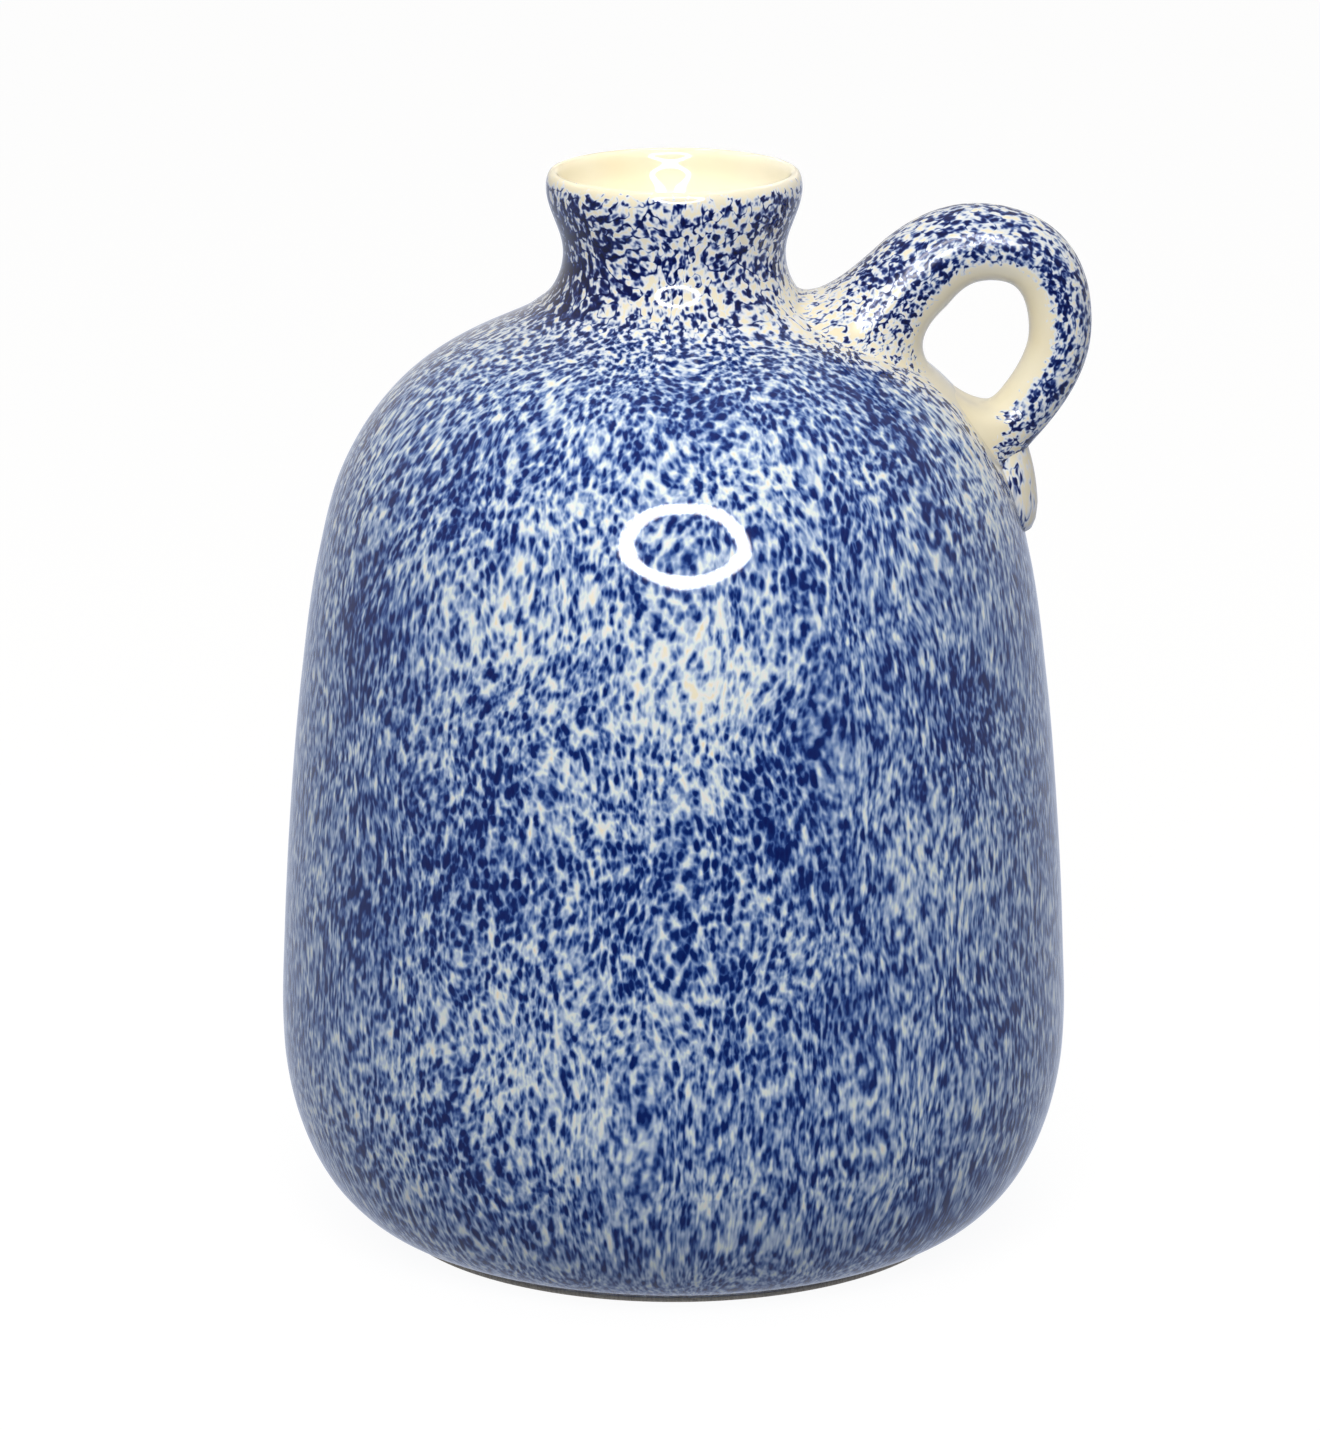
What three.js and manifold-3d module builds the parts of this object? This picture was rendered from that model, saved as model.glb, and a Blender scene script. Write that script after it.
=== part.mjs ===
// A wheel-thrown ceramic pitcher with a round belly, a narrow neck and a one-finger loop handle.
// Millimetres, +Z up. The origin is on the axis of the round body, in the plane it stands on.
// The handle lies in the XZ plane, on the +X side.
import * as THREE from 'three';
import { mergeVertices } from 'three/addons/utils/BufferGeometryUtils.js';
import Module from 'manifold-3d';

const wasm = await Module();
wasm.setup();

// ---- Driving dimensions ----

const height = 230;
const wallThickness = 4.5;
const jointGap = 0.3;
const roundSegments = 64;
const ovalSegments = 24;
const barSteps = { upperRoot: 9, strap: 20, lowerRoot: 6, lowerRootSpace: 8 };

// Bare foot ring, and the floor slab let into the wall above it. The inside of the wall leaves
// the floor's edge in one straight facet, up to its first point that is this far over the floor.
const foot = { innerRadius: 56, outerRadius: 62.5, height: 1.2 };
const floorTop = 6;
const floorFacetRise = 1;

// Outer outline of the wall, through five stations. The angle is that of the outline above the
// horizontal, reachIn and reachOut say how far the curves into a station and out of it keep to
// that angle, and steps is the number of facets that the curve into it is drawn with.
const footEdge = { radius: 62.8, z: foot.height, angle: 19, reachOut: 19 };
const belly = { radius: 85, z: 43.5, angle: 90, reachIn: 12, reachOut: 25, steps: 7 };
const shoulder = { radius: 71, z: 165.5, angle: 114, reachIn: 23.5, reachOut: 41, steps: 5 };
const waist = { radius: 23.7, z: 213.5, angle: 90, reachIn: 22.3, reachOut: 3.5, steps: 9 };
const lip = { radius: 27.3, z: 226.5, angle: 90, reachIn: 4, steps: 4, thickness: 3.2 };
const lipSteps = 4;

// Height of the level joint where the thrown neck is set on the body.
const neckJointZ = 202;

// Centreline of the handle: from inside the shoulder, over the crest, round the outermost
// point and back into the shoulder.
const handleStart = { x: 36, z: 187, angle: 55, reach: 14.5 };
const handleCrest = { x: 65.1, z: 214.6, reachIn: 13.8, reachOut: 7.8 };
const handleOutermost = { x: 81.7, z: 196.2, reachIn: 15, reachOut: 9.7 };
const handleEnd = { x: 64.4, z: 168.8, angle: 222, reach: 12.1 };

// The oval section is thick at the upper root and thins towards the lower one.
const strap = { thinnest: 12.3, extraAtRoot: 13.7, taper: 2.4, widthRatio: 1.15 };

// Where the two clay roots meet the free strap, as fractions of the centreline's length, and
// how much wider each root is where the centreline ends inside the wall.
const upperRoot = { joint: 0.25, flareInPlane: 11, flareAcross: 12 };
const lowerRoot = { joint: 0.86, flareInPlane: 14, flareAcross: 10 };

// How much further up the strap the space kept free of the tail reaches, as such a fraction.
const tailClearance = 0.1;

// The tail: the pressed-down end of the strap, a lens on the shoulder under the lower root.
const tail = { x: 70, z: 163, tilt: 14, halfThickness: 7.8, halfWidth: 8.5, halfLength: 12.5 };

// ---- Outlines of the wall ----

const radians = THREE.MathUtils.degToRad;

function ahead(x, z, angle, distance) {
  return [x + distance * Math.cos(radians(angle)), z + distance * Math.sin(radians(angle))];
}

// The curve of the outline between two stations, as points that leave out the last.
function stretch(a, b) {
  const curve = new THREE.CubicBezierCurve(
    new THREE.Vector2(a.radius, a.z),
    new THREE.Vector2(...ahead(a.radius, a.z, a.angle, a.reachOut)),
    new THREE.Vector2(...ahead(b.radius, b.z, b.angle, -b.reachIn)),
    new THREE.Vector2(b.radius, b.z),
  );
  return curve.getPoints(b.steps).slice(0, -1);
}

// A quarter of the lip's round edge, from the given side of the wall up to its crest.
function lipQuarter(sideRadius) {
  const crestRadius = lip.radius - lip.thickness / 2;
  return Array.from({ length: lipSteps + 1 }, (_, i) => {
    const turn = (i / lipSteps) * (Math.PI / 2);
    return new THREE.Vector2(
      crestRadius + (sideRadius - crestRadius) * Math.cos(turn),
      lip.z + (height - lip.z) * Math.sin(turn),
    );
  });
}

// The same outline moved along its normals by distanceAt(height), which is positive out of
// the clay.
function offsetOutline(points, distanceAt) {
  return points.map((point, i) => {
    const before = points[Math.max(i - 1, 0)];
    const after = points[Math.min(i + 1, points.length - 1)];
    const along = after.clone().sub(before).normalize();
    const distance = distanceAt(point.y);
    return new THREE.Vector2(point.x + distance * along.y, point.y - distance * along.x);
  });
}

// Splits an outline at a height, with a point of its own exactly there in both halves.
function splitAtHeight(points, z) {
  const above = points.findIndex((point) => point.y > z);
  const a = points[above - 1];
  const b = points[above];
  const cut = a.clone().lerp(b, (z - a.y) / (b.y - a.y));
  return [[...points.slice(0, above), cut], [cut, ...points.slice(above)]];
}

const wallOutside = [
  ...stretch(footEdge, belly),
  ...stretch(belly, shoulder),
  ...stretch(shoulder, waist),
  ...stretch(waist, lip),
];
const lipOutside = lipQuarter(lip.radius);

// The neck's wall thins evenly from the joint up to the lip.
function thicknessAt(z) {
  const up = THREE.MathUtils.clamp((z - neckJointZ) / (lip.z - neckJointZ), 0, 1);
  return THREE.MathUtils.lerp(wallThickness, lip.thickness, up);
}

// Inside the wall: the outer outline moved in by the wall's thickness, between the floor's
// edge and the inner half of the lip's round edge.
const lipInside = lipQuarter(lip.radius - lip.thickness);
const wallInside = [
  new THREE.Vector2(foot.innerRadius, floorTop),
  ...offsetOutline(wallOutside, (z) => -thicknessAt(z))
    .filter(({ y }) => y > floorTop + floorFacetRise),
];

const [bodyOutside, neckOutside] = splitAtHeight(wallOutside, neckJointZ);
const [bodyInside, neckInside] = splitAtHeight(wallInside, neckJointZ);

// ---- Turned pieces ----

function turned(points) {
  const geometry = new THREE.LatheGeometry(points, roundSegments);
  geometry.rotateX(Math.PI / 2);
  return geometry;
}

function ringOf(points) {
  return turned([...points, points[0].clone()]);
}

function rectangleRing(innerRadius, outerRadius, bottom, top) {
  return ringOf([
    new THREE.Vector2(innerRadius, bottom),
    new THREE.Vector2(outerRadius, bottom),
    new THREE.Vector2(outerRadius, top),
    new THREE.Vector2(innerRadius, top),
  ]);
}

function disc(radius, bottom, top) {
  return turned([
    new THREE.Vector2(0, bottom),
    new THREE.Vector2(radius, bottom),
    new THREE.Vector2(radius, top),
    new THREE.Vector2(0, top),
  ]);
}

function bodyWall() {
  const underside = new THREE.Vector2(foot.innerRadius, foot.height);
  return ringOf([underside, ...bodyOutside, ...bodyInside.toReversed()]);
}

function neckWall() {
  const crest = lipInside.at(-1);
  const downInside = [...neckInside, ...lipInside.slice(0, -1)].toReversed();
  return ringOf([...neckOutside, ...lipOutside.slice(0, -1), crest, ...downInside]);
}

// ---- Handle ----

const sideways = new THREE.Vector3(0, 1, 0);

function point3([x, z]) {
  return new THREE.Vector3(x, 0, z);
}

function handleLine() {
  const start = point3([handleStart.x, handleStart.z]);
  const crest = point3([handleCrest.x, handleCrest.z]);
  const outermost = point3([handleOutermost.x, handleOutermost.z]);
  const end = point3([handleEnd.x, handleEnd.z]);
  const line = new THREE.CurvePath();
  line.add(new THREE.CubicBezierCurve3(
    start,
    point3(ahead(start.x, start.z, handleStart.angle, handleStart.reach)),
    point3([crest.x - handleCrest.reachIn, crest.z]),
    crest,
  ));
  line.add(new THREE.CubicBezierCurve3(
    crest,
    point3([crest.x + handleCrest.reachOut, crest.z]),
    point3([outermost.x, outermost.z + handleOutermost.reachIn]),
    outermost,
  ));
  line.add(new THREE.CubicBezierCurve3(
    outermost,
    point3([outermost.x, outermost.z - handleOutermost.reachOut]),
    point3(ahead(end.x, end.z, handleEnd.angle, -handleEnd.reach)),
    end,
  ));
  return line;
}

const line = handleLine();
const lineLength = line.getLength();

// The strap's full thickness in the XZ plane at a fraction of the centreline's length.
function strapThickness(along) {
  return strap.thinnest + strap.extraAtRoot * (1 - along) ** strap.taper;
}

// A closed bar of oval section bent along the centreline, from one fraction of its length to
// another. flare(along) gives what is added to the section, in the plane and across it.
function bentBar(from, to, steps, flare) {
  const circle = new THREE.Shape();
  circle.absellipse(0, 0, 0.5, 0.5, 0, 2 * Math.PI);
  const bar = new THREE.ExtrudeGeometry(circle, {
    depth: 1, steps, curveSegments: ovalSegments / 2, bevelEnabled: false,
  });
  const corner = bar.attributes.position;
  for (let i = 0; i < corner.count; i += 1) {
    const along = from + (to - from) * corner.getZ(i);
    const centre = line.getPoint(along);
    const outwards = new THREE.Vector3().crossVectors(sideways, line.getTangent(along));
    const [addedInPlane, addedAcross] = flare(along);
    const thickness = strapThickness(along) + addedInPlane;
    const width = strap.widthRatio * strapThickness(along) + addedAcross;
    centre.addScaledVector(outwards.normalize(), corner.getX(i) * thickness);
    centre.addScaledVector(sideways, corner.getY(i) * width);
    corner.setXYZ(i, centre.x, centre.y, centre.z);
  }
  return bar;
}

function upperFlare(along) {
  const depth = (upperRoot.joint - along) / upperRoot.joint;
  return [upperRoot.flareInPlane * depth ** 2, upperRoot.flareAcross * depth ** 2];
}

function lowerFlare(along) {
  const depth = (along - lowerRoot.joint) / (1 - lowerRoot.joint);
  return [lowerRoot.flareInPlane * depth ** 2, lowerRoot.flareAcross * depth ** 2];
}

// The tail's plain lens, before the body and the lower root are cut out of it.
function tailLens() {
  const lens = new THREE.SphereGeometry(1, ovalSegments, ovalSegments / 2);
  lens.scale(tail.halfThickness, tail.halfWidth, tail.halfLength);
  lens.rotateY(radians(tail.tilt));
  lens.translate(tail.x, 0, tail.z);
  return lens;
}

// ---- Cutting the clay of the handle back to the body ----

function solid(geometry) {
  const bare = geometry.clone();
  bare.deleteAttribute('normal');
  bare.deleteAttribute('uv');
  const welded = mergeVertices(bare);
  return new wasm.Manifold(new wasm.Mesh({
    numProp: 3,
    vertProperties: new Float32Array(welded.attributes.position.array),
    triVerts: new Uint32Array(welded.index.array),
  }));
}

function geometryOf(manifold) {
  const mesh = manifold.getMesh();
  const geometry = new THREE.BufferGeometry();
  geometry.setAttribute('position', new THREE.BufferAttribute(mesh.vertProperties, 3));
  geometry.setIndex(new THREE.BufferAttribute(mesh.triVerts, 1));
  geometry.computeVertexNormals();
  return geometry;
}

// The space of the body and neck, grown by the gap that a cut piece keeps to them.
function keepOut() {
  const grown = offsetOutline(wallOutside, () => jointGap);
  return solid(turned([
    new THREE.Vector2(0, grown[0].y),
    ...grown,
    new THREE.Vector2(0, grown.at(-1).y),
  ]));
}

const bodySpace = keepOut();
const gapAlong = jointGap / lineLength;
const noFlare = () => [0, 0];

const freeStrap = bentBar(upperRoot.joint, lowerRoot.joint, barSteps.strap, noFlare);
const upperRootSolid = solid(
  bentBar(0, upperRoot.joint - gapAlong, barSteps.upperRoot, upperFlare),
);
const lowerRootSolid = solid(
  bentBar(lowerRoot.joint + gapAlong, 1, barSteps.lowerRoot, lowerFlare),
);

// The lower root grown by the gap on every side, and lengthened to hold the strap's end too.
function grownLowerFlare(along) {
  const added = along > lowerRoot.joint ? lowerFlare(along) : noFlare();
  return added.map((amount) => amount + 2 * jointGap);
}

const lowerRootSpace = solid(
  bentBar(lowerRoot.joint - tailClearance, 1, barSteps.lowerRootSpace, grownLowerFlare),
);

// ---- The pieces, each with its own glaze or clay ----

function piece(name, geometry, color, roughness) {
  const material = new THREE.MeshStandardMaterial({ color, roughness, metalness: 0 });
  const mesh = new THREE.Mesh(geometry, material);
  mesh.name = name;
  return mesh;
}

const blueSponged = 0x8fa3c8;
const paleSponged = 0xa9b6cf;
const creamGlaze = 0xf2ecd2;
const bareClay = 0xcfc6b4;
const glazeRoughness = 0.08;
const clayRoughness = 0.7;

const pitcher = new THREE.Group();
pitcher.add(
  piece('foot_ring', rectangleRing(foot.innerRadius, foot.outerRadius, 0, foot.height),
    bareClay, clayRoughness),
  piece('floor', disc(foot.innerRadius, foot.height, floorTop), creamGlaze, glazeRoughness),
  piece('body', bodyWall(), blueSponged, glazeRoughness),
  piece('neck', neckWall(), blueSponged, glazeRoughness),
  piece('upper_root', geometryOf(upperRootSolid.subtract(bodySpace)),
    paleSponged, glazeRoughness),
  piece('handle', freeStrap, blueSponged, glazeRoughness),
  piece('lower_root', geometryOf(lowerRootSolid.subtract(bodySpace)),
    paleSponged, glazeRoughness),
  piece('tail', geometryOf(solid(tailLens()).subtract(bodySpace).subtract(lowerRootSpace)),
    creamGlaze, glazeRoughness),
);

export default pitcher;
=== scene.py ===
"""A glazed ceramic pitcher: the fine model of the wall, the handle and the sponged glaze.

Lengths are in millimetres until a mesh is made, and the frame's own metres after that.
The wall is one turned sheet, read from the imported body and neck. The handle is one sheet too,
from its upper root over the strap to its lower root, and the pieces are cut out of the sheets.
"""

import math

import bpy
import numpy as np
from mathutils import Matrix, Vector


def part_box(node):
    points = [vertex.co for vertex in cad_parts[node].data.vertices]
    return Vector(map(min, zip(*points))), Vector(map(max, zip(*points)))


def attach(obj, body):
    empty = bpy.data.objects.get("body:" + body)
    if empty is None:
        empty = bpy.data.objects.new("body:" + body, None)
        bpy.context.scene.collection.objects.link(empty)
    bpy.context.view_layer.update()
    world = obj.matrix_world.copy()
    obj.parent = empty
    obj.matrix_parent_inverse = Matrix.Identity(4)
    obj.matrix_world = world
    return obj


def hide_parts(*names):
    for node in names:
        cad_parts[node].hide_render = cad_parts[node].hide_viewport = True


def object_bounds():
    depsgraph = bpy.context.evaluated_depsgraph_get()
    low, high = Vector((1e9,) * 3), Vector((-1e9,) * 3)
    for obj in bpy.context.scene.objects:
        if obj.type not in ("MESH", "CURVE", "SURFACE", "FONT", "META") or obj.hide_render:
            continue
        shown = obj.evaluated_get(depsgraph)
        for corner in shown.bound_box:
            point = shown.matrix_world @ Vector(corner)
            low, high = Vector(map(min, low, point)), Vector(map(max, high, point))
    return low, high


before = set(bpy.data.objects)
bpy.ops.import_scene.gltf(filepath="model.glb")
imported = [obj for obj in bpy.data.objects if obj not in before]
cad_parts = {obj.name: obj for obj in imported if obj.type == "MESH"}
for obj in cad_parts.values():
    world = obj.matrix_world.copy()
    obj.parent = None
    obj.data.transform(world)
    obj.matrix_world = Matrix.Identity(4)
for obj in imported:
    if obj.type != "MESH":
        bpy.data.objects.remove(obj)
cad_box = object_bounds()

MM = 0.001
ON_PLANE = 0.001

# ---- Driving dimensions, in millimetres ----

WALL_COLUMNS = 192
WALL_SPACING = 0.6
BODY_OUTSIDE_STEP = 2
BODY_INSIDE_STEP = 4
HANDLE_COLUMNS = 72
HANDLE_SPACING = 1.2
SKIRT_ROWS = 26
TAIL_ROWS = 30
TAIL_COLUMNS = 48
FAIRING_PASSES = 6

# How far the thrown wall strays from round, in slow waves and in quick ones.
SLOW_WANDER = 0.09
QUICK_WANDER = 0.02

# Fairing takes a little off the lip's crest. Above this height the wall is stretched to bring
# it back, in full from so much further up.
LIP_Z = 225.0
LIP_STRETCH = 4

# How far the roots of the handle reach over the wall, and how strongly their skirts keep the
# strap's heading and the wall's: at the outer side, on the two flanks and at the hole.
UPPER_ROOT = {
    "outer_z": 206.5, "hole_z": 185.0, "half_width": 19.0,
    "leave": (31, 22, 27), "meet": (23, 13, 23),
}
LOWER_ROOT = {
    "outer_z": 163.5, "hole_z": 186.4, "half_width": 12.5,
    "leave": (10, 12, 24), "meet": (8, 8, 20),
}
# Where a root or the tail ends on the wall it lies this far under the surface, and its cap,
# drawn in smaller and smaller ovals, this far.
SUNK = 0.25
CAP_DEPTH = 1.5
CAP_SCALES = (1, 0.8, 0.6, 0.4, 0.2, 0.04)

# The tail under the lower root: its rise over the wall and its half width by height.
TAIL_Z = (152.0, 152.6, 154.4, 157.5, 163.2, 169.0, 174.5)
TAIL_RISE = (0.0, 1.6, 2.9, 4.1, 5.3, 6.4, 6.2)
TAIL_HALF_WIDTH = (1.0, 4.4, 7.2, 9.0, 9.4, 7.6, 5.0)
TAIL_ROUNDNESS = 1.7

# The sponge marks are drawn in a space of their own. At these heights it is this squat, which
# draws the marks out up the wall, and this narrow, which makes them larger. Along the handle
# they are drawn out by a factor of their own, and made larger or smaller by another.
SQUAT_Z = (0, 12, 30, 135, 175, 194, 206)
SQUAT = (0.26, 0.36, 0.55, 0.55, 0.22, 0.22, 0.80)
NARROW_Z = (0, 30, 60, 180, 206)
NARROW = (1.15, 1.00, 1.00, 0.90, 0.94)
STRAP_DRAWN_OUT = 0.82
STRAP_SCALE = 1.15

# The heights over which the sponging fades out at the lip, and over which the cream ground of
# the neck fades in above the belly's blue.
LIP_FADES = (226.8, 230.8)
GROUND_FADES = (190, 207)

# How much of the sponging is left where a root meets the wall, and on the tail, whose edges
# have more of it. How much of the cream ground shows on the strap.
ROOT_EDGE = 0.72
TAIL_SPECKS = 0.63
TAIL_EDGE_SPECKS = 0.6
STRAP_GROUND = 0.75

# How far from a root's footprint, in millimetres, the sponging comes back in full, and over
# which distances the cream ground round the roots fades out.
UPPER_ROOT_FADES = (0, 7)
LOWER_ROOT_FADES = (-3, 3)
ROOTS_GROUND_FADES = (2, 14)

# The plain web of wall under the finger hole: from radius to radius, and to each side.
WEB_FROM = (49, 56)
WEB_TO = (66, 72)
WEB_HALF_WIDTH = (8, 14)

# How far round the handle its sponging fades out, in degrees from the outer side. It reaches
# further at the strap's two ends and on the upper root, and at the lower end of the outer side
# it goes on for some rows more.
STRAP_WRAP = (95, 125)
UPPER_WRAP = (14, 30)
LOWER_WRAP = 12
OUTER_ROWS = 14

# Broad patches of the sponging: degrees round from the front, height, spread in millimetres,
# and how much lighter they are.
PATCH_STRENGTH = 0.013
DARK_PATCHES = (
    (-44, 174, 9, -9), (-57, 140, 9, -10), (-54, 75, 11, -6), (56, 194, 6, -8),
    (50, 183, 6, -10), (52, 172, 7, -8), (49, 125, 9, -10), (18, 126, 8, -9),
    (14, 110, 9, -8), (18, 70, 10, -8), (-29, 95, 8, -7), (45, 14, 7, -9),
    (-32, 37, 11, -7), (-5, 90, 6, -6), (0, 192, 7, -6), (16, 161, 7, -6),
    (-30, 102, 17, -5), (0, 107, 18, -3), (33, 182, 12, -5), (-66, 214, 9, -26),
    (66, 218, 7, -10),
)
LIGHT_PATCHES = (
    (18, 180, 7, 7), (-21, 150, 9, 9), (5, 124, 8, 8), (-13, 110, 8, 6),
    (21, 81, 6, 9), (-27, 59, 9, 7), (-15, 43, 8, 6), (-2, 60, 8, 6),
    (32, 35, 8, 7), (40, 93, 8, 4), (4, 141, 10, 15), (35, 45, 14, 2),
    (0, 8, 20, 3), (-2, 206, 5, 6), (52, 203, 7, 6), (0, 214, 14, 5),
    (69, 176, 8, 10), (70, 158, 8, 4),
)

# Where the sponge was dragged, in degrees round from the front and in heights.
STROKES_RIGHT = (8, 34)
STROKES_LEFT = (-58, -30)
STROKES_LEFT_Z = (20, 70)
STROKES_LOW = (-30, 0)
STROKES_LOW_Z = (40, 75)
STROKES_TOP_Z = (140, 170)

# ---- Lines ----


def smooth_line(points, spacing):
    """Points at an even spacing along a smooth curve through the given ones."""
    points = np.asarray(points, float)
    chord = np.append(0, np.cumsum(np.linalg.norm(np.diff(points, axis=0), axis=1)))
    slopes = np.gradient(points, chord, axis=0)
    at = np.linspace(0, chord[-1], int(round(chord[-1] / spacing)) + 1)
    before = np.clip(np.searchsorted(chord, at, side="right") - 1, 0, len(chord) - 2)
    gap = (chord[before + 1] - chord[before])[:, None]
    t = (at - chord[before])[:, None] / gap
    return (
        (2 * t**3 - 3 * t**2 + 1) * points[before]
        + (t**3 - 2 * t**2 + t) * gap * slopes[before]
        + (3 * t**2 - 2 * t**3) * points[before + 1]
        + (t**3 - t**2) * gap * slopes[before + 1]
    )


def faired(line, passes):
    """The line with its small changes of curvature evened out, and its ends kept."""
    line = line.copy()
    for _ in range(passes):
        line[1:-1] = (line[:-2] + 2 * line[1:-1] + line[2:]) / 4
    return line


def joined_corners(node, keep):
    """Which of a CAD node's corners in the plane y = 0 are joined by an edge."""
    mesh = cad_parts[node].data
    corner = [tuple(round(c / MM, 4) for c in v.co) for v in mesh.vertices]
    joined = {}
    for edge in mesh.edges:
        a, b = (corner[i] for i in edge.vertices)
        if a != b and all(abs(p[1]) < ON_PLANE and keep(p) for p in (a, b)):
            joined.setdefault(a, set()).add(b)
            joined.setdefault(b, set()).add(a)
    return joined


def chain_from(joined, start, ahead):
    """The corners from start by way of ahead, as (x, z), to the chain's end or back round."""
    chain = [start, ahead]
    while True:
        after = [p for p in joined[chain[-1]] if p != chain[-2]]
        if not after or after[0] == start:
            return np.array([(p[0], p[2]) for p in chain])
        chain.append(after[0])


def section_loop(node):
    """The closed outline (radius, z) of a turned CAD node: foot or joint first, outside next."""
    joined = joined_corners(node, lambda p: p[0] > 0)
    start = min(joined, key=lambda p: (p[2], p[0]))
    return chain_from(joined, start, max(joined[start]))


body_loop = section_loop("body")
neck_loop = section_loop("neck")
joint_z = neck_loop[0, 1]
body_top = int(np.argmax(body_loop[:, 1] > joint_z - ON_PLANE))
wall_line = faired(smooth_line(np.vstack([
    body_loop[1:body_top],
    neck_loop[1:],
    neck_loop[:1],
    body_loop[body_top + 2:],
]), WALL_SPACING), FAIRING_PASSES)
crest_row = int(np.argmax(wall_line[:, 1]))
lip_rise = neck_loop[:, 1].max() - wall_line[crest_row, 1]
wall_line[:, 1] += lip_rise * np.clip((wall_line[:, 1] - LIP_Z) / LIP_STRETCH, 0, 1)
joint_out = int(np.argmax(wall_line[:, 1] > joint_z))
joint_in = len(wall_line) - 1 - int(np.argmax(wall_line[::-1, 1] > joint_z))
wall_line[[joint_out, joint_in], 1] = joint_z
outside = wall_line[:crest_row + 1]
outside_length = np.append(0, np.cumsum(np.linalg.norm(np.diff(outside, axis=0), axis=1)))


def hand_made(azimuth, z):
    """How far the wall strays from its round outline, always to the inside: it is never true."""
    slow = np.sin(2 * azimuth + 0.6 + z / 70) + 0.6 * np.sin(3 * azimuth - 2.1 + z / 45)
    quick = np.sin(7 * azimuth + z / 9) * np.sin(z / 13 + 1.3)
    return SLOW_WANDER * (slow - 1.6) + QUICK_WANDER * (quick - 1)


def turned(radius, z, azimuth):
    radius, z, azimuth = np.broadcast_arrays(radius, z, azimuth)
    radius = radius + hand_made(azimuth, z) * np.clip(radius / 20, 0, 1)
    return np.stack([radius * np.cos(azimuth), radius * np.sin(azimuth), z], axis=-1)


def on_wall(length, azimuth, depth=0.0):
    """Points on the outside of the wall or under it, by length along its outline from the foot."""
    radius = np.interp(length, outside_length, outside[:, 0])
    z = np.interp(length, outside_length, outside[:, 1])
    rise_r = np.interp(length + 1, outside_length, outside[:, 0]) - radius
    rise_z = np.interp(length + 1, outside_length, outside[:, 1]) - z
    size = np.hypot(rise_r, rise_z)
    return turned(radius - depth * rise_z / size, z + depth * rise_r / size, azimuth)


def length_at(z):
    return float(np.interp(z, outside[:, 1], outside_length))


# ---- Pieces from rows of points ----


def unit(vectors):
    return vectors / np.maximum(np.linalg.norm(vectors, axis=-1, keepdims=True), 1e-12)


def sheet_normals(sheet):
    """Normals of rows of points whose columns close on themselves."""
    across = np.roll(sheet, -1, axis=1) - np.roll(sheet, 1, axis=1)
    return unit(np.cross(across, np.gradient(sheet, axis=0)))


def make_piece(name, stacks, closed=False):
    """A closed piece from stacks of rows, each a dict of its points, normals and paint.

    Flat rings join one stack to the next. A closed piece has such a ring from its last row
    back to its first, and any other has a flat cap on both.
    """
    points = np.vstack([s["points"] for s in stacks])
    normals = np.vstack([s["normals"] for s in stacks])
    rows, count = points.shape[:2]
    last_rows = set(np.cumsum([len(s["points"]) for s in stacks]) - 1)
    flat_points = np.clip(points.reshape(-1, 3), *(np.array(corner) / MM for corner in cad_box))
    flat_normals = normals.reshape(-1, 3)
    column = np.arange(count)
    faces, corner_normals = [], []
    for row in range(rows if closed else rows - 1):
        a = row * count + column
        b = row * count + (column + 1) % count
        shift = ((row + 1) % rows - row) * count
        quads = np.stack([a, b, b + shift, a + shift], axis=1)
        faces += quads.tolist()
        if row in last_rows:
            corner = flat_points[quads]
            flat = unit(np.cross(corner[:, 1] - corner[:, 0], corner[:, 3] - corner[:, 0]))
            corner_normals.append(np.repeat(flat, 4, axis=0))
        else:
            corner_normals.append(flat_normals[quads].reshape(-1, 3))
    if not closed:
        for row, turn in ((0, -1), (rows - 1, 1)):
            cap = (row * count + column)[::turn]
            faces.append(cap.tolist())
            third = flat_points[cap[[0, count // 3, 2 * count // 3]]]
            flat = unit(np.cross(third[1] - third[0], third[2] - third[0]))
            corner_normals.append(np.tile(flat, (count, 1)))
    mesh = bpy.data.meshes.new(name)
    mesh.from_pydata((flat_points * MM).tolist(), [], faces)
    mesh.polygons.foreach_set("use_smooth", [True] * len(mesh.polygons))
    mesh.normals_split_custom_set(np.vstack(corner_normals).tolist())
    for label in ("decoration", "ground", "shade", "strokes", "marks"):
        values = np.concatenate([s[label].reshape(len(s["points"]) * count, -1) for s in stacks])
        is_vector = label == "marks"
        layer = mesh.attributes.new(label, "FLOAT_VECTOR" if is_vector else "FLOAT", "POINT")
        layer.data.foreach_set("vector" if is_vector else "value", values.ravel())
    piece = bpy.data.objects.new(name, mesh)
    bpy.context.scene.collection.objects.link(piece)
    return piece


def mark_space(points):
    """Where the sponge marks of the wall are drawn."""
    height = np.linspace(-1, 240, 483)
    squat = np.interp(height, SQUAT_Z, SQUAT)
    squeezed = np.append(0, np.cumsum((squat[1:] + squat[:-1]) / 2 * np.diff(height)))
    marks = points * np.interp(points[..., 2], NARROW_Z, NARROW)[..., None]
    marks[..., 2] = np.interp(points[..., 2], height, squeezed)
    return marks


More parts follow.
